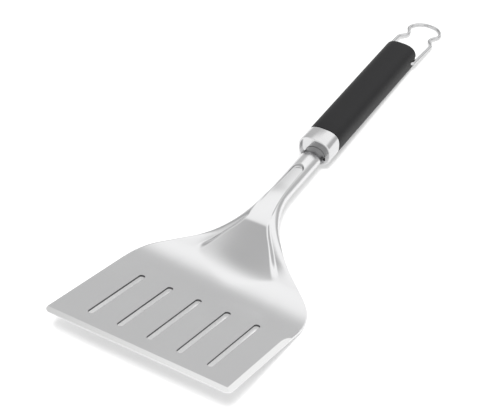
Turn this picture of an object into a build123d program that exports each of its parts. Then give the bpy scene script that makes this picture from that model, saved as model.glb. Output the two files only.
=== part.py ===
from build123d import *
import os
from math import cos, hypot, pi, radians, sin, sqrt

# A grill spatula: a slotted steel blade pressed into a half-pipe neck, an oval handle
# with a steel sleeve and a soft grip, and a wire hanging loop that swings at its end.
# Blade frame: X from the front edge to the handle, Y to the left, Z off the flat.
# Handle frame: X along the grip from the sleeve's front lip. Millimetres, degrees.

# Blade sheet
blade_width = 150.0
sheet = 1.6
flat_length = 100.0            # flat from the front edge to the start of the sweep
corner_radius = 4.5
front_bevel = 4.6              # width of the ground band along the front edge
side_bevel = 4.2               # width of the band along the right edge
side_bevel_end = 86.0
bevel_land = 0.45              # edge thickness left under the bevels
slot_count = 5
slot_pitch = 24.3
slot_width = 4.4
slot_start = 17.6
slot_end = 86.8

# Pressed gusset and groove
groove_end = 217.5             # centre of the groove's round rear end
facet_end = 158.0              # crease between the groove's floor and the steep face
facet_bow = 0.0035             # the face falls off sideways by this times y squared
press_blend = 0.4              # square millimetres, softens the face's meeting with the sheet
press_fade = (104.0, 116.0)    # the pressing grows from nothing between these stations
under_soften = 1.2             # the underside's bends are wider by this
normal_soften = 3.0            # bends are widened by this where the thickness is measured

# Handle
handle_pitch = 16.0            # handle rises from the blade's flat by this angle
lip_x = 243.23                 # sleeve's front lip, on the handle's axis
lip_z = 66.16
half_width = 14.0
half_height = 11.5
squareness = 2.8               # exponent of the oval section
sleeve_length = 15.8
sleeve_wall = 1.2
lip_round = 0.5
rear_round = 1.6               # rounding of the grip's rear edge
cap_recess = 2.4
cap_thickness = 3.2
gap_length = 0.8
gap_depth = 0.8
grip_end = 154.4
grip_wall = 3.0
end_cap_start = 133.4
end_cap_inset = 0.8

# Tang
bar_width = 8.0
bar_height = 2.5
bar_start = -15.0
bar_end = 129.4
bar_drop = 1.3                 # bar's top below the inside of the neck's crest
neck_tail = 15.0               # neck's rear end, inside the core
neck_clearance = 0.25
foot_depth = 3.0
rivet_radius = 1.6
rivet_places = (8.5, 12.5)
pin_radius = 1.5
pin_place = 103.4
pin_length = 11.0
rivet_head = 0.9
rivet_head_radius = 1.85

# Hanging loop
wire_radius = 1.4
pivot_place = 145.4
leg_offset = 15.2              # wire centre to the middle of the tool
recess_floor = 12.9
recess_clearance = 0.35
droop = 5.52                   # loop's fall below the handle's axis at rest
rise = 8.6                     # highest angle above the handle's axis
bush_radius = 2.8
bush_length = 5.0
bore_clearance = 0.05
bend_radius = 2.2
pin_depth = 4.6                # wire's straight end, inside its bush
leg_end = 34.5                 # legs are parallel up to here, from the pivot
pinch = (43.2, 10.4)           # where the legs come closest
shoulder = (52.5, 13.4)
head_side = (60.5, 12.6)
head_end = 67.5

spans = 66                     # sheet surface patches along the tool, and across it
strips = 40

rest_tilt = 19.45              # blade's flat to the table, heel and grip touching it

on_handle = Pos(lip_x, 0, lip_z) * Rot(0, -handle_pitch, 0)


def smooth_curve(knots, x):
    # Cubic through knots of place, value and slope, straight beyond the last one.
    if x <= knots[0][0]:
        return knots[0][1]
    for (x0, v0, m0), (x1, v1, m1) in zip(knots, knots[1:]):
        if x <= x1:
            h = x1 - x0
            t = (x - x0) / h
            return (
                (1 + 2 * t) * (1 - t) ** 2 * v0
                + t * (1 - t) ** 2 * h * m0
                + t * t * (3 - 2 * t) * v1
                + t * t * (t - 1) * h * m1
            )
    return v1 + (x - x1) * m1


def half_outline(x):
    # Half-width of the sheet: rounded shoulder, straight sweep, flare into the neck.
    return smooth_curve(
        [(100, 75, 0), (118, 71.2, -0.47), (133, 57.5, -1.4), (150, 33.4, -1.33),
         (165, 17.3, -0.72), (180, 10.3, -0.22), (195, 8.6, 0)], x)


def crest(x):
    # Height of the sheet's middle, without the gusset and the groove.
    return smooth_curve(
        [(100, 0, 0), (120, 2.6, 0.27), (135, 8.5, 0.56), (147, 18.9, 1.27), (155, 30, 1.42),
         (165, 41.3, 0.84), (180, 50.5, 0.4), (192, 54, 0.2867)], x)


def edge_drop(x):
    # How far the edges hang below the crest: none on the blade, a half-pipe on the neck.
    return smooth_curve(
        [(136, 0, 0), (150, 4.9, 0.58), (165, 9.6, 0.05), (195, 7.2, 0)], x)


def wrap_angle(x):
    # Angle that the section turns through from its crest to its edge.
    return radians(smooth_curve([(130, 40, 0), (190, 88, 0)], x))


def pressed_line(x):
    # Middle line of the pressed gusset: blade fillet, steep face, groove's floor.
    return smooth_curve(
        [(106, 0, 0), (125, 4.9, 0.56), (142, 18.6, 1.06), (157, 34.4, 1.06), (159.5, 36.5, 0.62),
         (185, 49.3, 0.38), (200, 53.6, 0.2867)], x)


def pressed_top(x):
    # Half-width of the gusset's face, or of the groove's floor.
    return smooth_curve(
        [(120, 38, -0.5), (135, 31, -1.1), (150, 16.9, -0.98), (158, 9.4, -0.5), (165, 7.9, -0.16),
         (180, 5.9, -0.10), (200, 4.5, -0.04), (222, 4.0, 0)], x)


def pressed_foot(x):
    # Half-width at the foot of the gusset's side walls, or at the groove's upper edge.
    return smooth_curve(
        [(120, 44, -0.5), (137, 37, -0.9), (150, 23.4, -1.2), (160, 11.6, -0.9), (166, 9.1, -0.16),
         (180, 7.0, -0.10), (200, 5.5, -0.04), (222, 4.9, 0)], x)


def sheet_point(x, v, soften):
    # A point of the top skin at station x, v from -1 at the right edge to 1 at the left.
    angle = wrap_angle(x)
    phi = v * angle
    y = half_outline(x) * sin(phi) / sin(angle)
    z = crest(x) - edge_drop(x) * (1 - cos(phi)) / (1 - cos(angle))
    lift = pressed_line(x) - facet_bow * y * y - z
    if x < facet_end:
        lift = 0.5 * (lift + sqrt(lift * lift + press_blend))
        start, full = press_fade
        lift *= min(1.0, max(0.0, (x - start) / (full - start)))
    top = pressed_top(x) - soften
    foot = pressed_foot(x) + soften
    away = hypot(y, max(0.0, x - groove_end))
    share = min(1.0, max(0.0, (foot - away) / (foot - top)))
    return Vector(x, y, z + lift * share * share * (3 - 2 * share))


def skins(stations, columns):
    # Grids of the top skin, and of the underside one sheet thickness below it.
    step = 0.25
    turn = 0.01
    soft = normal_soften
    upper = []
    lower = []
    for x in stations:
        upper.append([sheet_point(x, v, 0.0) for v in columns])
        row = []
        for v in columns:
            along = sheet_point(x + step, v, soft) - sheet_point(x - step, v, soft)
            across = sheet_point(x, v + turn, soft) - sheet_point(x, v - turn, soft)
            normal = along.cross(across).normalized()
            row.append(sheet_point(x, v, under_soften) - normal * sheet)
        lower.append(row)
    return upper, lower


def swept_sheet():
    # Shoulders, gusset and half-pipe neck, as one closed shell between two skins.
    tail = lip_x + neck_tail * cos(radians(handle_pitch))
    stations = [flat_length + (tail - flat_length) * i / spans for i in range(spans + 1)]
    columns = [-1 + 2 * i / strips for i in range(strips + 1)]
    upper, lower = skins(stations, columns)
    for row in (upper[0], lower[0]):
        for i, point in enumerate(row):
            row[i] = Vector(flat_length, point.Y, 0.0 if row is upper[0] else -sheet)
    top = Face.make_surface_from_array_of_points(upper, tol=0.03)
    under = Face.make_surface_from_array_of_points(lower, tol=0.03)
    sides = []
    for a in top.edges():
        b = min(under.edges(), key=lambda e: (e.center() - a.center()).length)
        sides.append(Face.make_surface_from_curves(a, b))
    return Solid(Shell([top, under] + sides))


def flat_blade():
    # Flat front of the blade, with rounded front corners, ground edges and slots.
    half = blade_width / 2
    slab = Pos(flat_length / 2, 0, -sheet / 2) * Box(flat_length, blade_width, sheet)
    corners = slab.edges().filter_by(Axis.Z).group_by(Axis.X)[0]
    slab = fillet(corners, corner_radius)
    fall = sheet - bevel_land
    nose = Polygon((0, 0), (front_bevel, 0), (0, -fall), align=None)
    slab -= extrude(Plane.XZ * nose, half + 1, both=True)
    flank = Polygon((-half, 0), (-half, -fall), (-half + side_bevel, 0), align=None)
    run = side_bevel_end - 2
    slab -= extrude(Plane.YZ.offset(-1) * flank, run + 1)
    tip = Plane.YZ.offset(run) * flank
    slab -= loft([tip, Plane.YZ.offset(side_bevel_end + 6) * Pos(-half, 0) * scale(
        Pos(half, 0) * flank, 0.05)])
    slot = SlotOverall(slot_end - slot_start, slot_width)
    middle = (slot_start + slot_end) / 2
    for i in range(slot_count):
        y = (i - (slot_count - 1) / 2) * slot_pitch
        slab -= extrude(Pos(middle, y, 0) * slot, 2 * sheet, both=True)
    return slab


def blade():
    sheet_body = flat_blade() + swept_sheet()
    holes = [on_handle * hole for hole in rivet_shanks()]
    return sheet_body - holes


def oval(inset=0.0):
    # Rounded oval section of the handle, drawn in the handle's YZ plane.
    a = half_width - inset
    b = half_height - inset
    points = []
    for i in range(32):
        t = 2 * pi * (i + 0.5) / 32
        c = cos(t)
        s = sin(t)
        y = a * abs(c) ** (2 / squareness) * (1 if c > 0 else -1)
        z = b * abs(s) ** (2 / squareness) * (1 if s > 0 else -1)
        points.append((y, z))
    return make_face(Spline(points, periodic=True))


def bar(start, end, section):
    # A section of the handle carried along its axis from start to end.
    return extrude(Plane.YZ.offset(start) * section, end - start)


def neck_hole():
    # Clearance cut around the neck and the tang bar: an arch over a flat foot.
    wide = half_outline(lip_x) + neck_clearance
    deep = edge_drop(lip_x) + neck_clearance
    spring = neck_top - edge_drop(lip_x)
    arch = Pos(0, spring) * Ellipse(wide, deep)
    arch &= Pos(0, spring + deep) * Rectangle(4 * wide, 2 * deep)
    return arch + Pos(0, spring - foot_depth / 2) * Rectangle(2 * wide, foot_depth)


neck_top = (crest(lip_x) - lip_z) * cos(radians(handle_pitch))
bar_level = neck_top - sheet - bar_drop - bar_height / 2


def rivet_shanks():
    low = bar_level - bar_height / 2 - rivet_head
    high = neck_top + rivet_head
    align = (Align.CENTER, Align.CENTER, Align.MIN)
    return [Pos(x, 0, low) * Cylinder(rivet_radius, high - low, align=align) for x in rivet_places]


def tang_rivets():
    # Two rivets through the neck and the tang bar, a flat head at each end.
    rivets = []
    for x, shank in zip(rivet_places, rivet_shanks()):
        for level in (bar_level - (bar_height + rivet_head) / 2, neck_top + rivet_head / 2):
            shank += Pos(x, 0, level) * Cylinder(rivet_head_radius, rivet_head)
        rivets.append(shank)
    return rivets


def tang_bar():
    body = bar(bar_start, bar_end, Pos(0, bar_level) * Rectangle(bar_width, bar_height))
    body = fillet(body.edges().filter_by(Axis.Z), 2.0)
    return body - rivet_shanks() - tang_pin()


def tang_pin():
    return Pos(pin_place, 0, bar_level) * Cylinder(pin_radius, pin_length)


def ferrule_sleeve():
    shell = bar(0, sleeve_length, oval())
    lip = shell.faces().sort_by(Axis.X)[0].edges()
    shell = fillet(lip, lip_round)
    return shell - bar(-1, sleeve_length + 1, oval(sleeve_wall))


def front_cap():
    end = cap_recess + cap_thickness
    return bar(cap_recess, end, oval(sleeve_wall)) - bar(0, end + 1, neck_hole())


def seal_ring():
    end = sleeve_length + gap_length
    return bar(sleeve_length, end, oval(gap_depth)) - bar(sleeve_length - 1, end + 1, oval(grip_wall))


def handle_core():
    start = cap_recess + cap_thickness
    body = bar(start, sleeve_length, oval(sleeve_wall))
    body += bar(sleeve_length, end_cap_start, oval(grip_wall))
    body -= bar(start - 1, neck_tail + 1, neck_hole())
    body -= bar(start, bar_end, Pos(0, bar_level) * Rectangle(bar_width, bar_height))
    for x in rivet_places:
        body -= Pos(x, 0, (neck_top + bar_level) / 2) * Cylinder(rivet_head_radius + neck_clearance, 4 * bar_height)
    return body - tang_pin()


def loop_recess():
    # Fan-shaped pocket in each flank, which lets the wire swing between its two stops.
    reach = grip_end - pivot_place + 6
    low = radians(-droop)
    high = radians(rise)
    fan = Polygon((0, 0), (reach * cos(low), reach * sin(low)),
                  (reach * cos(high), reach * sin(high)), align=None)
    fan = offset(fan, wire_radius + recess_clearance)
    pocket = extrude(Plane.XZ * fan, -8)
    left = Pos(pivot_place, recess_floor, 0) * pocket
    return [left, mirror(left, Plane.XZ)]


def bush_holes():
    return Pos(pivot_place, 0, 0) * Rot(90, 0, 0) * Cylinder(bush_radius, 2 * recess_floor)


def grip():
    body = bar(sleeve_length + gap_length, grip_end, oval())
    rear = body.faces().sort_by(Axis.X)[-1].edges()
    body = fillet(rear, rear_round)
    front = body.faces().sort_by(Axis.X)[0].edges()
    body = fillet(front, lip_round)
    body -= bar(0, grip_end + 1, oval(grip_wall))
    for pocket in loop_recess():
        body -= pocket
    return body - bush_holes()


def end_cap():
    body = bar(end_cap_start, grip_end - end_cap_inset, oval(grip_wall))
    return body - bush_holes()


def loop_bushes():
    face = recess_floor - 0.1
    tube = Cylinder(bush_radius, bush_length) - Cylinder(wire_radius + bore_clearance, 2 * bush_length)
    bushes = []
    for side in (-1, 1):
        place = Pos(pivot_place, side * (face - bush_length / 2), 0)
        bushes.append(place * Rot(90, 0, 0) * tube)
    return bushes


def loop_line():
    # Centreline of the wire in its own plane, from the left end to the right one.
    elbow = leg_offset - bend_radius
    leg_finish = (leg_end, leg_offset)
    flare = (1, 0.55)
    pin = Line((0, elbow - pin_depth), (0, elbow))
    bend = RadiusArc((0, elbow), (bend_radius, leg_offset), bend_radius)
    leg = Line((bend_radius, leg_offset), leg_finish)
    neck = Spline([leg_finish, pinch, shoulder], tangents=[(1, 0), flare], tangent_scalars=[1.2, 1.0])
    head = Spline([shoulder, head_side, (head_end, 0)], tangents=[flare, (0, -1)],
                  tangent_scalars=[1.0, 1.2])
    return [pin, bend, leg, neck, head]


def hanging_loop():
    left = Wire(loop_line())
    both = Wire(list(left.edges()) + list(mirror(left, Plane.XZ).edges()))
    start = Plane(origin=left @ 0, z_dir=(0, 1, 0))
    rod = sweep(start * Circle(wire_radius), path=both, transition=Transition.ROUND)
    return Pos(pivot_place, 0, 0) * Rot(0, droop, 0) * rod


def main():
    pieces = {"blade": [blade()]}
    handle = {
        "tang_bar": [tang_bar()],
        "tang_rivets": tang_rivets(),
        "tang_pin": [tang_pin()],
        "front_cap": [front_cap()],
        "ferrule_sleeve": [ferrule_sleeve()],
        "seal_ring": [seal_ring()],
        "handle_core": [handle_core()],
        "grip": [grip()],
        "end_cap": [end_cap()],
        "loop_bushes": loop_bushes(),
        "hanging_loop": [hanging_loop()],
    }
    for name, solids in handle.items():
        pieces[name] = [on_handle * solid for solid in solids]
    tilt = Rot(0, rest_tilt, 0)
    box = Compound([tilt * s for solids in pieces.values() for s in solids]).bounding_box()
    rest = Pos(-box.center().X, 0, -box.min.Z) * tilt
    os.makedirs("parts", exist_ok=True)
    for name, solids in pieces.items():
        placed = [rest * solid for solid in solids]
        export_step(placed[0] if len(placed) == 1 else Compound(placed), f"parts/{name}.step")
    pivot = rest * on_handle * Pos(pivot_place, 0, 0)
    print("loop pivot", pivot.position)
    print("front edge", (rest * Pos(0, 0, 0)).position, "size", box.size)
    for name, solids in pieces.items():
        print(name, "lowest", min((rest * s).bounding_box().min.Z for s in solids))


main()
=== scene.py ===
import math

import bmesh
import bpy
from mathutils import Matrix, Vector


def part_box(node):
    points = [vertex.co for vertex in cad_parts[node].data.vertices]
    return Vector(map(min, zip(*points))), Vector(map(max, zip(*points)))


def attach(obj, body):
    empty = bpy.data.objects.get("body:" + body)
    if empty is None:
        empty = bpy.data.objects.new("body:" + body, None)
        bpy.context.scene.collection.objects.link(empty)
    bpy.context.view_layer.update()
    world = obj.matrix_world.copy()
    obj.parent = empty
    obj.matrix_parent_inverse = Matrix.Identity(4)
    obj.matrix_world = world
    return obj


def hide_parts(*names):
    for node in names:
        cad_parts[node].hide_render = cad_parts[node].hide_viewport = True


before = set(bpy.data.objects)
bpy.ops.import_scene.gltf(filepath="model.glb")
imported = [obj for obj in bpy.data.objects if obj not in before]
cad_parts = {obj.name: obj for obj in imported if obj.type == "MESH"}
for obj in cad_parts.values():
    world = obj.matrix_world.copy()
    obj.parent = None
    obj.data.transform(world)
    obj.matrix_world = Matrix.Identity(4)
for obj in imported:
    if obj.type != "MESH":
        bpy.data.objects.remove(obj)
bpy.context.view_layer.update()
print("frame loaded:", ", ".join(sorted(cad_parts)))


class Flow:
    # Wraps a socket: + - * / and ** on it add Math nodes to its tree
    def __init__(self, tree, socket=None):
        self.tree = tree
        self.socket = socket

    def node(self, kind, settings=None, values=None, out=0):
        # Any node: its settings first, then values or links for its sockets, and one output back
        made = self.tree.nodes.new(kind)
        for name, value in (settings or {}).items():
            setattr(made, name, value)
        for key, value in (values or {}).items():
            if isinstance(value, Flow):
                self.tree.links.new(value.socket, made.inputs[key])
            else:
                made.inputs[key].default_value = value
        return Flow(self.tree, made.outputs[out])

    def maths(self, operation, *terms, clamp=False):
        settings = {"operation": operation, "use_clamp": clamp}
        return self.node("ShaderNodeMath", settings, dict(enumerate(terms)))

    def __add__(self, other):
        return self.maths("ADD", self, other)

    def __sub__(self, other):
        return self.maths("SUBTRACT", self, other)

    def __rsub__(self, other):
        return self.maths("SUBTRACT", other, self)

    def __mul__(self, other):
        return self.maths("MULTIPLY", self, other)

    def __truediv__(self, other):
        return self.maths("DIVIDE", self, other)

    def __rtruediv__(self, other):
        return self.maths("DIVIDE", other, self)

    def __pow__(self, other):
        return self.maths("POWER", self, other)

    __radd__ = __add__
    __rmul__ = __mul__


mm = 0.001

# The sheet's own frame: x from the front edge to the handle, y left, z off the flat
stance = {
    "tilt": 19.45,          # blade's flat to the table, degrees
    "edgeFall": 1.15,       # how far the ground front edge lies under the flat, mm
    "thickness": 1.6,
}
grasp = {
    "pitch": 16.0,          # handle above the blade's flat, degrees
    "lip": (243.23, 66.16), # sleeve's front lip in the sheet's frame, mm
    "halfWidth": 14.0,
    "halfHeight": 11.5,
    "squareness": 2.8,
}

tilt = math.radians(stance["tilt"])
bladeLow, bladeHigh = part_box("blade")
edgeX = bladeLow.x + stance["thickness"] * mm * math.sin(tilt)
edgeZ = bladeHigh.z + stance["edgeFall"] * mm * math.cos(tilt)
sheetPlace = (
    Matrix.Translation((edgeX, 0, edgeZ)) @ Matrix.Rotation(tilt, 4, "Y") @ Matrix.Scale(mm, 4)
)
lipX, lipZ = grasp["lip"]
handlePlace = (
    sheetPlace
    @ Matrix.Translation((lipX, 0, lipZ))
    @ Matrix.Rotation(-math.radians(grasp["pitch"]), 4, "Y")
)


def addPiece(name, mesh, place=None):
    # Object at the origin, its place in its mesh
    if place is not None:
        mesh.transform(place)
    piece = bpy.data.objects.new(name, mesh)
    bpy.context.scene.collection.objects.link(piece)
    return piece


def bakeDown(piece):
    # Turns a piece and its modifiers into a plain mesh on the same object
    bpy.context.view_layer.update()
    graph = bpy.context.evaluated_depsgraph_get()
    mesh = bpy.data.meshes.new_from_object(piece.evaluated_get(graph))
    piece.modifiers.clear()
    piece.data = mesh
    mesh.name = piece.name
    return piece


def carve(piece, cutters):
    # Takes the cutters out of a piece, exactly; the cut faces keep each cutter's finish
    for cutter in cutters:
        cut = piece.modifiers.new("carve", "BOOLEAN")
        cut.operation = "DIFFERENCE"
        cut.solver = "EXACT"
        cut.material_mode = "TRANSFER"
        cut.object = cutter
    bakeDown(piece)
    for cutter in cutters:
        bpy.data.objects.remove(cutter)
    return piece


def ringsMesh(name, rings, skin=None):
    # Closed mesh through rings of equal length, with flat ends
    body = bmesh.new()
    rows = [[body.verts.new(p) for p in ring] for ring in rings]
    for a, b in zip(rows, rows[1:]):
        for i in range(len(a)):
            j = (i + 1) % len(a)
            body.faces.new((a[i], a[j], b[j], b[i]))
    body.faces.new(rows[0][::-1])
    body.faces.new(rows[-1])
    bmesh.ops.recalc_face_normals(body, faces=body.faces)
    mesh = bpy.data.meshes.new(name)
    body.to_mesh(mesh)
    body.free()
    if skin:
        mesh.materials.append(skin)
    return mesh


# The sheet's shape: cubic curves through knots of place, value and slope, in mm along the flat
sheetCurves = {
    "halfOutline": [(100, 75, 0), (118, 71.2, -0.47), (133, 57.5, -1.4), (150, 33.4, -1.33),
                    (165, 17.3, -0.72), (180, 10.3, -0.22), (195, 8.6, 0)],
    "crest": [(100, 0, 0), (120, 2.6, 0.27), (135, 8.5, 0.56), (147, 18.9, 1.27), (155, 30, 1.42),
              (165, 41.3, 0.84), (180, 50.5, 0.4), (192, 54, 0.2867)],
    "edgeDrop": [(136, 0, 0), (150, 4.9, 0.58), (165, 9.6, 0.05), (195, 7.2, 0)],
    "wrapAngle": [(130, 40, 0), (190, 88, 0)],
    "pressedLine": [(106, 0, 0), (125, 4.9, 0.56), (142, 18.6, 1.06), (157, 34.4, 1.06),
                    (159.5, 36.5, 0.62), (185, 49.3, 0.38), (200, 53.6, 0.2867)],
    "pressedTop": [(120, 38, -0.5), (135, 31, -1.1), (150, 16.9, -0.98), (158, 9.4, -0.5),
                   (165, 7.9, -0.16), (180, 5.9, -0.10), (200, 4.5, -0.04), (222, 4.0, 0)],
    "pressedFoot": [(120, 44, -0.5), (137, 37, -0.9), (150, 23.4, -1.2), (160, 11.6, -0.9),
                    (166, 9.1, -0.16), (180, 7.0, -0.10), (200, 5.5, -0.04), (222, 4.9, 0)],
}
sheetPress = {
    "flatLength": 100.0,    # flat from the front edge to the sweep, mm
    "grooveEnd": 217.5,
    "facetEnd": 158.0,
    "facetBow": 0.0035,
    "facetBlend": 0.4,      # softness of the edge between the facet and the sweep
    "fadeStart": 104.0,     # the press fades in behind the flat
    "fadeLength": 12.0,
    "underSoften": 1.2,     # the underside's press is wider by this, mm
    "normalSoften": 3.0,    # and its thickness is laid off a softer skin still
    "normalStep": (0.25, 0.01),
    "grainRise": 0.7,       # how far the brush lines follow the rise of the neck
    "tail": 15.0,           # neck's end inside the handle
    "step": 0.95,           # stations' spacing, fine across the groove's round end
    "fineStep": 0.2,
    "fineReach": 4.5,
    "columns": 150,
}


def follow(curve, x):
    knots = sheetCurves[curve]
    if x <= knots[0][0]:
        return knots[0][1]
    for (x0, v0, m0), (x1, v1, m1) in zip(knots, knots[1:]):
        if x <= x1:
            h = x1 - x0
            t = (x - x0) / h
            rise = t * (1 - t) ** 2 * h * m0 + t * t * (t - 1) * h * m1
            return (1 + 2 * t) * (1 - t) ** 2 * v0 + t * t * (3 - 2 * t) * v1 + rise
    return v1 + (x - x1) * m1


def sheetPoint(x, v, soften=0.0):
    # Top skin at station x; v runs from -1 at the right edge to 1 at the left
    angle = math.radians(follow("wrapAngle", x))
    phi = v * angle
    y = follow("halfOutline", x) * math.sin(phi) / math.sin(angle)
    z = follow("crest", x) - follow("edgeDrop", x) * (1 - math.cos(phi)) / (1 - math.cos(angle))
    lift = follow("pressedLine", x) - sheetPress["facetBow"] * y * y - z
    if x < sheetPress["facetEnd"]:
        lift = 0.5 * (lift + math.sqrt(lift * lift + sheetPress["facetBlend"]))
        lift *= min(1.0, max(0.0, (x - sheetPress["fadeStart"]) / sheetPress["fadeLength"]))
    top = follow("pressedTop", x) - soften
    foot = follow("pressedFoot", x) + soften
    away = math.hypot(y, max(0.0, x - sheetPress["grooveEnd"]))
    share = min(1.0, max(0.0, (foot - away) / (foot - top)))
    return Vector((x, y, z + lift * share * share * (3 - 2 * share)))


def underPoint(x, v):
    # Underside, one sheet thickness below a softened top skin
    stepX, stepV = sheetPress["normalStep"]
    soft = sheetPress["normalSoften"]
    along = sheetPoint(x + stepX, v, soft) - sheetPoint(x - stepX, v, soft)
    across = sheetPoint(x, v + stepV, soft) - sheetPoint(x, v - stepV, soft)
    down = along.cross(across).normalized() * stance["thickness"]
    return sheetPoint(x, v, sheetPress["underSoften"]) - down


plate = {
    "halfWidth": 75.0,
    "cornerRadius": 4.5,
    "frontBevel": 4.6,
    "sideBevel": 4.2,
    "sideBevelStart": 78.0,  # where the ground side edge begins to run out
    "sideBevelEnd": 88.0,
    "slotCount": 5,
    "slotPitch": 24.3,
    "slotWidth": 4.4,
    "slotStart": 17.6,
    "slotEnd": 86.8,
    "slotChamfer": 0.15,
}


def flatOutline(rear):
    # Right rear corner, round the front, to the left rear corner, and back along the rear edge
    r = plate["cornerRadius"]
    half = plate["halfWidth"]
    points = []
    for side in (-1, 1):
        arc = []
        for i in range(9):
            a = math.radians(90 * i / 8)
            arc.append((r - r * math.sin(a), side * (half - r + r * math.cos(a))))
        points += arc if side < 0 else arc[::-1]
    return points + [(sheetPress["flatLength"], y) for y in reversed(rear)]


def slotPunch():
    # One round-ended punch, flared by the slot's chamfer above and below the sheet
    reach = 0.5
    middle = (plate["slotStart"] + plate["slotEnd"]) / 2
    radius = plate["slotWidth"] / 2
    run = (plate["slotEnd"] - plate["slotStart"]) / 2 - radius
    chamfer = plate["slotChamfer"]
    deep = stance["thickness"]
    rings = []
    for z, flare in ((reach, chamfer + reach), (-chamfer, 0), (chamfer - deep, 0),
                     (-deep - reach, chamfer + reach)):
        ring = []
        for side in (1, -1):
            for i in range(13):
                a = math.radians(180 * i / 12 - 90)
                x = middle + side * (run + (radius + flare) * math.cos(a))
                ring.append((x, side * (radius + flare) * math.sin(a), z))
        rings.append(ring)
    return ringsMesh("slotPunch", rings)


def newTree(name, inputs):
    # A Geometry Nodes tree with a geometry input and the named ones
    tree = bpy.data.node_groups.new(name, "GeometryNodeTree")
    tree.interface.new_socket(name="Geometry", in_out="INPUT", socket_type="NodeSocketGeometry")
    for label, kind, value in inputs:
        socket = tree.interface.new_socket(name=label, in_out="INPUT", socket_type="NodeSocket" + kind)
        if value is not None:
            socket.default_value = value
    tree.interface.new_socket(name="Geometry", in_out="OUTPUT", socket_type="NodeSocketGeometry")
    source = tree.nodes.new("NodeGroupInput")
    given = {socket.name: Flow(tree, socket) for socket in source.outputs if socket.name}
    return tree, Flow(tree), given


def endTree(flow, shape, skin):
    solid = flow.node("GeometryNodeRealizeInstances", values={"Geometry": shape})
    dressed = flow.node("GeometryNodeSetMaterial", values={"Geometry": solid, "Material": skin})
    sink = flow.tree.nodes.new("NodeGroupOutput")
    flow.tree.links.new(dressed.socket, sink.inputs[0])


def runTree(piece, tree, values):
    # Sets the tree's inputs by identifier, then bakes the piece
    grow = piece.modifiers.new(tree.name, "NODES")
    grow.node_group = tree
    for item in tree.interface.items_tree:
        if item.item_type == "SOCKET" and item.in_out == "INPUT" and item.name in values:
            grow[item.identifier] = values[item.name]
    return bakeDown(piece)


def rowTree():
    # Repeats the input along y, centred on the middle
    tree, flow, given = newTree("slotRow", [
        ("Count", "Int", 5), ("Pitch", "Float", 24.3), ("Skin", "Material", None)])
    start = (given["Count"] - 1) * given["Pitch"] * -0.5
    first = flow.node("ShaderNodeCombineXYZ", values={"Y": start})
    step = flow.node("ShaderNodeCombineXYZ", values={"Y": given["Pitch"]})
    line = flow.node("GeometryNodeMeshLine", values={
        "Count": given["Count"], "Start Location": first, "Offset": step})
    row = flow.node("GeometryNodeInstanceOnPoints", values={
        "Points": line, "Instance": given["Geometry"]})
    endTree(flow, row, given["Skin"])
    return tree


def ovalTree():
    # Wraps a strip of (place along, angle, inset) round the handle's rounded oval
    tree, flow, given = newTree("ovalWrap", [
        ("Half Width", "Float", 14.0), ("Half Height", "Float", 11.5),
        ("Squareness", "Float", 2.8), ("Skin", "Material", None)])
    place = flow.node("GeometryNodeInputPosition")
    parts = flow.node("ShaderNodeSeparateXYZ", values={"Vector": place})
    along, turn, inset = (Flow(tree, socket) for socket in parts.socket.node.outputs)
    power = 2 / given["Squareness"]
    sides = []
    for wave, half in (("COSINE", given["Half Width"]), ("SINE", given["Half Height"])):
        swing = flow.maths(wave, turn)
        bulge = flow.maths("ABSOLUTE", swing) ** power * flow.maths("SIGN", swing)
        sides.append((half - inset) * bulge)
    target = flow.node("ShaderNodeCombineXYZ", values={"X": along, "Y": sides[0], "Z": sides[1]})
    wrapped = flow.node("GeometryNodeSetPosition", values={
        "Geometry": given["Geometry"], "Position": target})
    merged = flow.node("GeometryNodeMergeByDistance", values={"Geometry": wrapped, "Distance": 0.0005})
    endTree(flow, merged, given["Skin"])
    return tree


def startSkin(name, values):
    skin = bpy.data.materials.new(name)
    skin.use_nodes = True
    shader = skin.node_tree.nodes["Principled BSDF"]
    flow = Flow(skin.node_tree)
    for key, value in values.items():
        shader.inputs[key].default_value = value
    return skin, flow, shader


def feed(flow, shader, values):
    for key, value in values.items():
        flow.tree.links.new(value.socket, shader.inputs[key])


def noise(flow, vector, scale, detail=2.0, roughness=0.5):
    return flow.node("ShaderNodeTexNoise", values={
        "Vector": vector, "Scale": scale, "Detail": detail, "Roughness": roughness})


def tint(flow, factor, low, high):
    # A colour between two, by a number from 0 to 1
    return flow.node("ShaderNodeMix", {"data_type": "RGBA"}, {
        "Factor": factor, 6: (*low, 1), 7: (*high, 1)}, out=2)


def bump(flow, height, strength, distance):
    return flow.node("ShaderNodeBump", values={
        "Height": height, "Strength": strength, "Distance": distance})


def stretched(flow, vector, scales):
    return flow.node("ShaderNodeVectorMath", {"operation": "MULTIPLY"}, {0: vector, 1: scales})


bladeFinish = {
    "light": (0.70, 0.70, 0.705),
    "dark": (0.655, 0.655, 0.66),
    "roughness": 0.20,
    "grainAcross": 5200.0,   # brush lines per metre
    "grainAlong": 90.0,
    "neckShadeStart": 5.3,        # painted shade: dark band on the neck before the sleeve, mm
    "neckShadeTone": 0.42,
    "neckShadeSharpness": 2500.0, # per metre
    "wallShadeTone": 0.40,       # painted shade on the wall at the groove's round end
    "wallShadePeak": 1.2,
    "wallShadeFall": 2.4,         # per mm away from the middle of the wall
    "wallShadeOnset": 700.0,      # per metre past the groove's straight part
}


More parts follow.
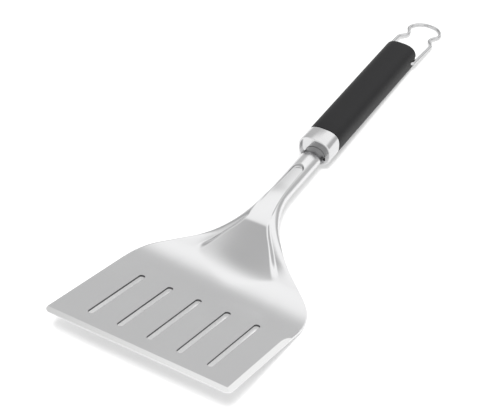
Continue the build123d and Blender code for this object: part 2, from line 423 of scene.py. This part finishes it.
def bladeSteel():
    skin, flow, shader = startSkin("bladeSteel", {"Metallic": 1.0})
    uv = flow.node("ShaderNodeUVMap", {"uv_map": "sheet"})
    lines = noise(flow, stretched(flow, uv, (bladeFinish["grainAlong"], bladeFinish["grainAcross"], 1)),
                  1.0, 3.0, 0.6)
    cloud = noise(flow, uv, 22.0, 3.0, 0.5)
    objects = flow.node("ShaderNodeTexCoord", out="Object")
    # Painted shade on the neck just before the sleeve: a dark band measured from the lip along the handle's
    # axis
    origin = handlePlace.to_translation()
    axis = (handlePlace.to_3x3() @ Vector((1, 0, 0))).normalized()
    toward = flow.node("ShaderNodeVectorMath", {"operation": "SUBTRACT"}, {0: objects, 1: origin})
    before = flow.node("ShaderNodeVectorMath", {"operation": "DOT_PRODUCT"},
                       {0: toward, 1: axis}, out="Value")
    start = -bladeFinish["neckShadeStart"] * mm
    band = flow.maths("ADD", (before - start) * bladeFinish["neckShadeSharpness"], 0.5,
                      clamp=True)
    shade = tint(flow, lines * 0.5 + cloud * 0.5, bladeFinish["dark"], bladeFinish["light"])
    plan = flow.node("ShaderNodeUVMap", {"uv_map": "plan"})
    spread = flow.node("ShaderNodeSeparateXYZ", values={"Vector": plan})
    ahead, aside = (Flow(flow.tree, socket) for socket in spread.socket.node.outputs[:2])
    # Painted shade on the wall round the groove's end, strongest in the middle of the wall
    past = flow.maths("MAXIMUM", ahead - sheetPress["grooveEnd"] * mm, 0.0)
    reach = (past * past + aside * aside) ** 0.5 / mm
    end = sheetPress["grooveEnd"]
    rim = (follow("pressedTop", end) + follow("pressedFoot", end)) / 2
    fall = flow.maths("ABSOLUTE", reach - rim) * bladeFinish["wallShadeFall"]
    wall = flow.maths("SUBTRACT", bladeFinish["wallShadePeak"], fall, clamp=True)
    wall = wall * flow.maths("MULTIPLY", past, bladeFinish["wallShadeOnset"], clamp=True)
    # Both painted shades darken the brushed colour
    shaded = 1 - flow.maths("MAXIMUM", band * (1 - bladeFinish["neckShadeTone"]),
                            wall * (1 - bladeFinish["wallShadeTone"]))
    darker = flow.node("ShaderNodeVectorMath", {"operation": "SCALE"}, {0: shade, "Scale": shaded})
    feed(flow, shader, {
        "Base Color": darker,
        "Roughness": (lines - 0.5) * 0.05 + (cloud - 0.5) * 0.04 + bladeFinish["roughness"],
        "Normal": bump(flow, lines, 0.05, 0.00003),
    })
    return skin


def groundSteel():
    # Ground edges: fine cross scratches, smoother than the satin sheet
    skin, flow, shader = startSkin("groundSteel", {"Metallic": 1.0})
    objects = flow.node("ShaderNodeTexCoord", out="Object")
    marks = noise(flow, stretched(flow, objects, (2600, 2600, 900)), 1.0, 2.0, 0.6)
    feed(flow, shader, {
        "Base Color": tint(flow, marks, (0.64, 0.64, 0.64), (0.70, 0.70, 0.70)),
        "Roughness": marks * 0.08 + 0.12,
        "Normal": bump(flow, marks, 0.06, 0.00002),
    })
    return skin


def shadedPunchedSteel():
    # Torn and rough walls that the punch leaves in the slots, with painted shade: their very dark colour
    # stands in for the shade inside the slots
    skin, flow, shader = startSkin("shadedPunchedSteel", {"Metallic": 1.0})
    objects = flow.node("ShaderNodeTexCoord", out="Object")
    torn = noise(flow, stretched(flow, objects, (2400, 2400, 500)), 1.0, 2.0, 0.6)
    feed(flow, shader, {
        "Base Color": tint(flow, torn, (0.07, 0.07, 0.073), (0.14, 0.14, 0.144)),
        "Roughness": torn * 0.2 + 0.35,
        "Normal": bump(flow, torn, 0.3, 0.00006),
    })
    return skin


def polishedSteel():
    skin, flow, shader = startSkin("polishedSteel", {"Metallic": 1.0})
    objects = flow.node("ShaderNodeTexCoord", out="Object")
    haze = noise(flow, objects, 900.0, 3.0, 0.6)
    swirl = noise(flow, objects, 60.0, 2.0, 0.5)
    feed(flow, shader, {
        "Base Color": tint(flow, swirl, (0.60, 0.60, 0.605), (0.66, 0.66, 0.665)),
        "Roughness": haze * 0.08 + swirl * 0.05 + 0.10,
        "Normal": bump(flow, haze, 0.05, 0.00002),
    })
    return skin


def softGrip():
    skin, flow, shader = startSkin("softGrip", {"Specular IOR Level": 0.24})
    objects = flow.node("ShaderNodeTexCoord", out="Object")
    pores = noise(flow, objects, 3200.0, 2.0, 0.6)
    cloud = noise(flow, objects, 70.0, 3.0, 0.5)
    feed(flow, shader, {
        "Base Color": tint(flow, cloud * 0.7 + pores * 0.3, (0.004, 0.004, 0.0044), (0.008, 0.008, 0.0086)),
        "Roughness": pores * 0.14 + cloud * 0.08 + 0.42,
        "Normal": bump(flow, pores, 0.35, 0.00008),
    })
    return skin


def mouldedNylon(name, low, high):
    skin, flow, shader = startSkin(name, {})
    objects = flow.node("ShaderNodeTexCoord", out="Object")
    spark = noise(flow, objects, 2200.0, 2.0, 0.5)
    cloud = noise(flow, objects, 120.0, 2.0, 0.5)
    feed(flow, shader, {
        "Base Color": tint(flow, cloud, low, high),
        "Roughness": spark * 0.2 + 0.45,
        "Normal": bump(flow, spark, 0.25, 0.00008),
    })
    return skin


def millSteel():
    skin, flow, shader = startSkin("millSteel", {"Metallic": 1.0})
    objects = flow.node("ShaderNodeTexCoord", out="Object")
    streaks = noise(flow, stretched(flow, objects, (60, 1800, 900)), 1.0, 3.0, 0.6)
    feed(flow, shader, {
        "Base Color": tint(flow, streaks, (0.42, 0.42, 0.43), (0.56, 0.56, 0.57)),
        "Roughness": streaks * 0.2 + 0.25,
        "Normal": bump(flow, streaks, 0.15, 0.00005),
    })
    return skin


def chromedWire():
    skin, flow, shader = startSkin("chromedWire", {"Metallic": 1.0})
    objects = flow.node("ShaderNodeTexCoord", out="Object")
    drawn = noise(flow, objects, 700.0, 2.0, 0.5)
    feed(flow, shader, {
        "Base Color": tint(flow, drawn, (0.46, 0.46, 0.465), (0.58, 0.58, 0.585)),
        "Roughness": drawn * 0.08 + 0.07,
        "Normal": bump(flow, drawn, 0.04, 0.00003),
    })
    return skin


skins = {
    "blade": bladeSteel(),
    "ground": groundSteel(),
    "punched": shadedPunchedSteel(),
    "polished": polishedSteel(),
    "grip": softGrip(),
    "core": mouldedNylon("coreNylon", (0.018, 0.018, 0.019), (0.03, 0.03, 0.031)),
    "seal": mouldedNylon("blackSeal", (0.004, 0.004, 0.004), (0.008, 0.008, 0.008)),
    "tang": millSteel(),
    "wire": chromedWire(),
}
print("finishes made:", len(skins))


cutterMargin = {"beyond": 2.0, "over": 3.0, "ends": 5.0, "top": 1.0, "runOut": 0.02}


def sideEdgeCutter():
    # Wedge that grinds the right edge, and runs out in a curve towards the shoulder
    slope = stance["edgeFall"] / plate["sideBevel"]
    start, end = plate["sideBevelStart"], plate["sideBevelEnd"]
    beyond, over, top = (cutterMargin[key] for key in ("beyond", "over", "top"))
    places = [-over, start]
    for i in range(1, 11):
        places.append(start + (end - start) * math.sin(math.radians(9 * i)))
    rings = []
    for x in places:
        run = min(1.0, max(0.0, (x - start) / (end - start)))
        wide = plate["sideBevel"] * math.sqrt(1 - run * run) - cutterMargin["runOut"] * (run == 1.0)
        outer = -plate["halfWidth"] - beyond
        inner = -plate["halfWidth"] + wide + over
        high = slope * over
        rings.append([(x, outer, -slope * (wide + beyond)), (x, inner, high), (x, outer, high + top)])
    return ringsMesh("sideEdgeCutter", rings, skins["ground"])


def frontEdgeCutter():
    slope = stance["edgeFall"] / plate["frontBevel"]
    beyond, over, top = (cutterMargin[key] for key in ("beyond", "over", "top"))
    back = plate["frontBevel"] + over
    half = plate["halfWidth"] + cutterMargin["ends"]
    low = -stance["edgeFall"] - slope * beyond
    high = slope * over
    rings = []
    for y in (-half, half):
        rings.append([(-beyond, y, low), (back, y, high), (-beyond, y, high + top)])
    return ringsMesh("frontEdgeCutter", rings, skins["ground"])


def columnPlaces():
    n = sheetPress["columns"]
    return [-1 + 2 * i / n for i in range(n + 1)]


def stationPlaces(tail):
    places = []
    x = sheetPress["flatLength"]
    while x < tail - sheetPress["step"] / 2:
        places.append(x)
        fine = abs(x - sheetPress["grooveEnd"] - sheetPress["fineReach"] / 2) < sheetPress["fineReach"]
        x += sheetPress["fineStep"] if fine else sheetPress["step"]
    return places + [tail]


def flatPart():
    x = sheetPress["flatLength"]
    rear = [sheetPoint(x, v).y for v in columnPlaces()]
    outline = flatOutline(rear)
    rings = [[(px, py, z) for px, py in outline] for z in (-stance["thickness"], 0)]
    piece = addPiece("flatPart", ringsMesh("flatPart", rings, skins["blade"]))
    punches = addPiece("slotPunches", slotPunch())
    # The slot walls take the punched finish, whose dark colour is painted shade
    runTree(punches, rowTree(), {
        "Count": plate["slotCount"], "Pitch": plate["slotPitch"], "Skin": skins["punched"]})
    cutters = [punches, addPiece("frontEdgeCutter", frontEdgeCutter()),
               addPiece("sideEdgeCutter", sideEdgeCutter())]
    return carve(piece, cutters)


def bladeSheet():
    body = bmesh.new()
    flat = flatPart()
    finishes = list(flat.data.materials)
    body.from_mesh(flat.data)
    x0 = sheetPress["flatLength"]
    rearWall = [f for f in body.faces if all(abs(v.co.x - x0) < 1e-4 for v in f.verts)]
    bmesh.ops.delete(body, geom=rearWall, context="FACES_ONLY")
    tail = lipX + sheetPress["tail"] * math.cos(math.radians(grasp["pitch"]))
    columns = columnPlaces()
    upper, lower = [], []
    for x in stationPlaces(tail):
        above = [sheetPoint(x, v) for v in columns]
        below = [underPoint(x, v) for v in columns]
        if x == x0:
            above = [Vector((x, p.y, 0)) for p in above]
            below = [Vector((x, p.y, -stance["thickness"])) for p in above]
        upper.append([body.verts.new(p) for p in above])
        lower.append([body.verts.new(p) for p in below])
    for a, b, c, d in zip(upper, upper[1:], lower, lower[1:]):
        for j in range(len(columns) - 1):
            body.faces.new((a[j], b[j], b[j + 1], a[j + 1])).smooth = True
            body.faces.new((c[j], c[j + 1], d[j + 1], d[j])).smooth = True
        body.faces.new((a[0], c[0], d[0], b[0]))
        body.faces.new((a[-1], b[-1], d[-1], c[-1]))
    for j in range(len(columns) - 1):
        body.faces.new((upper[-1][j], lower[-1][j], lower[-1][j + 1], upper[-1][j + 1]))
    bmesh.ops.remove_doubles(body, verts=body.verts, dist=0.002)
    bmesh.ops.recalc_face_normals(body, faces=body.faces)
    uv = body.loops.layers.uv.new("sheet")
    plan = body.loops.layers.uv.new("plan")
    for face in body.faces:
        for loop in face.loops:
            p = loop.vert.co
            loop[plan].uv = (p.x * mm, p.y * mm)
            loop[uv].uv = ((p.x + p.z * sheetPress["grainRise"]) * mm, p.y * mm)
    mesh = bpy.data.meshes.new("bladeSheet")
    body.to_mesh(mesh)
    body.free()
    bpy.data.objects.remove(flat)
    for finish in finishes:
        mesh.materials.append(finish)
    piece = addPiece("bladeSheet", mesh, sheetPlace)
    return piece


def arc(along, inset, radius, start, end, steps=6):
    # Points of a rounding in the plane of place along and inset, angles in degrees
    points = []
    for i in range(steps + 1):
        a = math.radians(start + (end - start) * i / steps)
        points.append((along + radius * math.cos(a), inset - radius * math.sin(a)))
    return points


def ovalStrip(name, profile, columns=144):
    # Flat strip that the oval tree wraps; the profile is a closed loop
    body = bmesh.new()
    rows = []
    for along, inset in profile + profile[:1]:
        rows.append([body.verts.new((along, 2 * math.pi * (j + 0.5) / columns, inset))
                     for j in range(columns + 1)])
    for a, b in zip(rows, rows[1:]):
        for j in range(columns):
            body.faces.new((a[j], a[j + 1], b[j + 1], b[j]))
    mesh = bpy.data.meshes.new(name)
    body.to_mesh(mesh)
    body.free()
    return mesh


def ovalPiece(name, profile, skin):
    piece = addPiece(name, ovalStrip(name, profile))
    runTree(piece, ovalWrap, {
        "Half Width": grasp["halfWidth"], "Half Height": grasp["halfHeight"],
        "Squareness": grasp["squareness"], "Skin": skin})
    body = bmesh.new()
    body.from_mesh(piece.data)
    bmesh.ops.remove_doubles(body, verts=body.verts, dist=0.0005)
    bmesh.ops.recalc_face_normals(body, faces=body.faces)
    body.to_mesh(piece.data)
    body.free()
    return piece


ovalWrap = ovalTree()

sleeve = {"length": 15.8, "wall": 1.2, "frontLip": 0.55, "rearLip": 0.35}
gripShape = {
    "start": 16.6,
    "end": 154.4,
    "wall": 3.0,
    "frontRound": 0.5,
    "rearRound": 1.6,
    "pivot": 145.4,
    "recessFloor": 12.9,
    "recessRadius": 1.75,   # wire's radius and its clearance
    "droop": 5.52,          # loop's stops below and above the handle's axis, degrees
    "rise": 8.6,
    "bushRadius": 2.8,
}


def sleevePiece():
    front, rear = sleeve["frontLip"], sleeve["rearLip"]
    length = sleeve["length"]
    profile = arc(front, front, front, 180, 90) + arc(length - rear, rear, rear, 90, 0)
    profile += [(length, sleeve["wall"]), (0, sleeve["wall"])]
    piece = ovalPiece("ferruleSleeve", profile, skins["polished"])
    piece.data.transform(handlePlace)
    return piece


def recessCutter(side):
    # Fan-shaped pocket between the loop's two stops, round-ended
    g = gripShape
    reach = g["end"] - g["pivot"] + 8
    outline = []
    for i in range(13):
        a = math.radians(g["rise"] + 90 + (180 - g["rise"] - g["droop"]) * i / 12)
        outline.append((g["recessRadius"] * math.cos(a), g["recessRadius"] * math.sin(a)))
    for angle, turn in ((-g["droop"], -90), (g["rise"], 90)):
        a = math.radians(angle)
        b = math.radians(angle + turn)
        outline.append((reach * math.cos(a) + g["recessRadius"] * math.cos(b),
                        reach * math.sin(a) + g["recessRadius"] * math.sin(b)))
    rings = []
    for y in (g["recessFloor"], g["recessFloor"] + 4):
        rings.append([(g["pivot"] + u, side * y, w) for u, w in outline])
    return addPiece("recessCutter", ringsMesh("recessCutter", rings))


def bushCutter():
    g = gripShape
    rings = []
    for y in (-g["recessFloor"] - 1, g["recessFloor"] + 1):
        ring = []
        for i in range(32):
            a = math.radians(360 * i / 32)
            ring.append((g["pivot"] + g["bushRadius"] * math.cos(a), y, g["bushRadius"] * math.sin(a)))
        rings.append(ring)
    return addPiece("bushCutter", ringsMesh("bushCutter", rings))


def gripPiece():
    g = gripShape
    front, rear = g["frontRound"], g["rearRound"]
    profile = arc(g["start"] + front, front, front, 180, 90)
    for i in range(1, 12):
        profile.append((g["start"] + (g["end"] - g["start"]) * i / 12, 0.0))
    profile += arc(g["end"] - rear, rear, rear, 90, 0, 8)
    profile += [(g["end"], g["wall"]), (g["start"], g["wall"])]
    piece = ovalPiece("softGrip", profile, skins["grip"])
    carve(piece, [recessCutter(-1), recessCutter(1), bushCutter()])
    piece.data.transform(handlePlace)
    return piece


def smoothCopy(node, name, skin, angle=35):
    # A merged copy of a CAD node, shaded smooth between its sharp edges
    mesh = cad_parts[node].data.copy()
    body = bmesh.new()
    body.from_mesh(mesh)
    bmesh.ops.remove_doubles(body, verts=body.verts, dist=1e-6)
    body.to_mesh(mesh)
    body.free()
    mesh.materials.clear()
    mesh.materials.append(skin)
    shadeByAngle(mesh, angle)
    return addPiece(name, mesh)


def shadeByAngle(mesh, angle):
    mesh.polygons.foreach_set("use_smooth", [True] * len(mesh.polygons))
    mesh.set_sharp_from_angle(angle=math.radians(angle))
    mesh.update()


def dress(node, skin):
    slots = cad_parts[node].material_slots
    if not slots:
        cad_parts[node].data.materials.append(skin)
    for slot in slots:
        slot.material = skin


def settle(piece, body, node):
    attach(piece, body)
    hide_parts(node)


settle(bladeSheet(), "root", "blade")
print("blade sheet pressed and punched")

collar = sleevePiece()
shadeByAngle(collar.data, 35)
settle(collar, "root", "ferrule_sleeve")
handGrip = gripPiece()
shadeByAngle(handGrip.data, 35)
settle(handGrip, "root", "grip")
print("sleeve and grip wrapped")

loop = smoothCopy("hanging_loop", "hangingLoop", skins["wire"])
settle(loop, "loop", "hanging_loop")
for node, skin in (("front_cap", "polished"), ("seal_ring", "seal"), ("handle_core", "core"),
                   ("end_cap", "core"), ("tang_bar", "tang"), ("tang_rivets", "tang"),
                   ("tang_pin", "tang"), ("loop_bushes", "tang")):
    dress(node, skins[skin])
print("loop and inner pieces dressed")


# A white tent over a pale floor, with one lamp from the blade's front right
studio = {
    "floorSize": 12.0,
    "floorShade": 0.40,
    "floorGlow": 0.38,       # lit from below, so that shadows stay light
    "tentShade": 1.30,       # brightness of the white tent round the object
    "cards": [               # darker cards in it: azimuth, elevation, inner and outer reach, depth
        (50.0, 4.0, 34.0, 43.0, 0.455),
        (128.0, 69.0, 9.0, 31.0, 0.55),
        (90.0, 25.0, 16.0, 30.0, 0.35),
        (314.0, 12.0, 14.0, 36.0, 0.50),
    ],
    "keyPower": 44.0,
    "keySize": (0.36, 0.36),
    "keyDistance": 1.7,
    "keyAzimuth": 208.0,     # direction from the object to the lamp, degrees from +X
    "keyElevation": 59.0,
}


def addFloor():
    half = studio["floorSize"] / 2
    mesh = bpy.data.meshes.new("floor")
    mesh.from_pydata([(-half, -half, 0), (half, -half, 0), (half, half, 0), (-half, half, 0)],
                     [], [(0, 1, 2, 3)])
    floor = addPiece("floor", mesh)
    skin, flow, shader = startSkin("paperFloor", {"Roughness": 0.9, "Specular IOR Level": 0.1})
    objects = flow.node("ShaderNodeTexCoord", out="Object")
    shade = studio["floorShade"]
    shader.inputs["Emission Color"].default_value = (1, 1, 1, 1)
    shader.inputs["Emission Strength"].default_value = studio["floorGlow"]
    fleck = tint(flow, noise(flow, objects, 300.0), (shade - 0.01,) * 3, (shade,) * 3)
    feed(flow, shader, {"Base Color": fleck})
    mesh.materials.append(skin)


def addLamp(name, power, size, azimuth, elevation, distance):
    lamp = bpy.data.lights.new(name, "AREA")
    lamp.shape = "RECTANGLE"
    lamp.size, lamp.size_y = size
    lamp.energy = power
    away = skyward(azimuth, elevation)
    placed = bpy.data.objects.new(name, lamp)
    placed.location = away * distance
    placed.rotation_euler = away.to_track_quat("Z", "Y").to_euler()
    placed.visible_glossy = False
    bpy.context.scene.collection.objects.link(placed)


def skyward(azimuth, elevation):
    a, e = math.radians(azimuth), math.radians(elevation)
    return Vector((math.cos(e) * math.cos(a), math.cos(e) * math.sin(a), math.sin(e)))


def addWorld():
    # A white tent, with soft darker cards that the steel shows
    world = bpy.data.worlds.new("studio")
    world.use_nodes = True
    flow = Flow(world.node_tree)
    way = flow.node("ShaderNodeTexCoord", out="Generated")
    glow = flow.node("ShaderNodeValue")
    glow.socket.default_value = studio["tentShade"]
    for azimuth, elevation, inner, outer, depth in studio["cards"]:
        near = flow.node("ShaderNodeVectorMath", {"operation": "DOT_PRODUCT"},
                         {0: way, 1: skyward(azimuth, elevation)}, out="Value")
        off = flow.maths("ARCCOSINE", near) * (180 / math.pi)
        card = flow.node("ShaderNodeMapRange", {"interpolation_type": "SMOOTHSTEP"}, {
            "Value": off, "From Min": inner, "From Max": outer, "To Min": 1.0, "To Max": 0.0})
        glow = glow * (1 - card * depth)
    back = world.node_tree.nodes["Background"]
    flow.tree.links.new(glow.socket, back.inputs["Color"])
    bpy.context.scene.world = world


def addCamera():
    # Stands off to the blade's front right and looks down at the neck
    view = {"azimuth": 31.507, "elevation": 44.236, "roll": 1.383, "distance": 1.1603,
            "aim": (-0.04107, 0.02296), "lens": 108.0}
    a, e = math.radians(view["azimuth"]), math.radians(view["elevation"])
    look = Vector((math.cos(e) * math.cos(a), math.cos(e) * math.sin(a), -math.sin(e)))
    lens = bpy.data.cameras.new("studioCamera")
    lens.lens = view["lens"]
    lens.sensor_width = 36.0
    camera = bpy.data.objects.new("studioCamera", lens)
    camera.location = Vector((*view["aim"], 0)) - look * view["distance"]
    rolled = Matrix.Rotation(-math.radians(view["roll"]), 3, "Z")
    camera.rotation_euler = (look.to_track_quat("-Z", "Y").to_matrix() @ rolled).to_euler()
    bpy.context.scene.collection.objects.link(camera)
    bpy.context.scene.camera = camera


addFloor()
addWorld()
addLamp("keySoftbox", studio["keyPower"], studio["keySize"], studio["keyAzimuth"],
        studio["keyElevation"], studio["keyDistance"])
addCamera()
bpy.context.scene.view_settings.view_transform = "Standard"
print("studio lit")
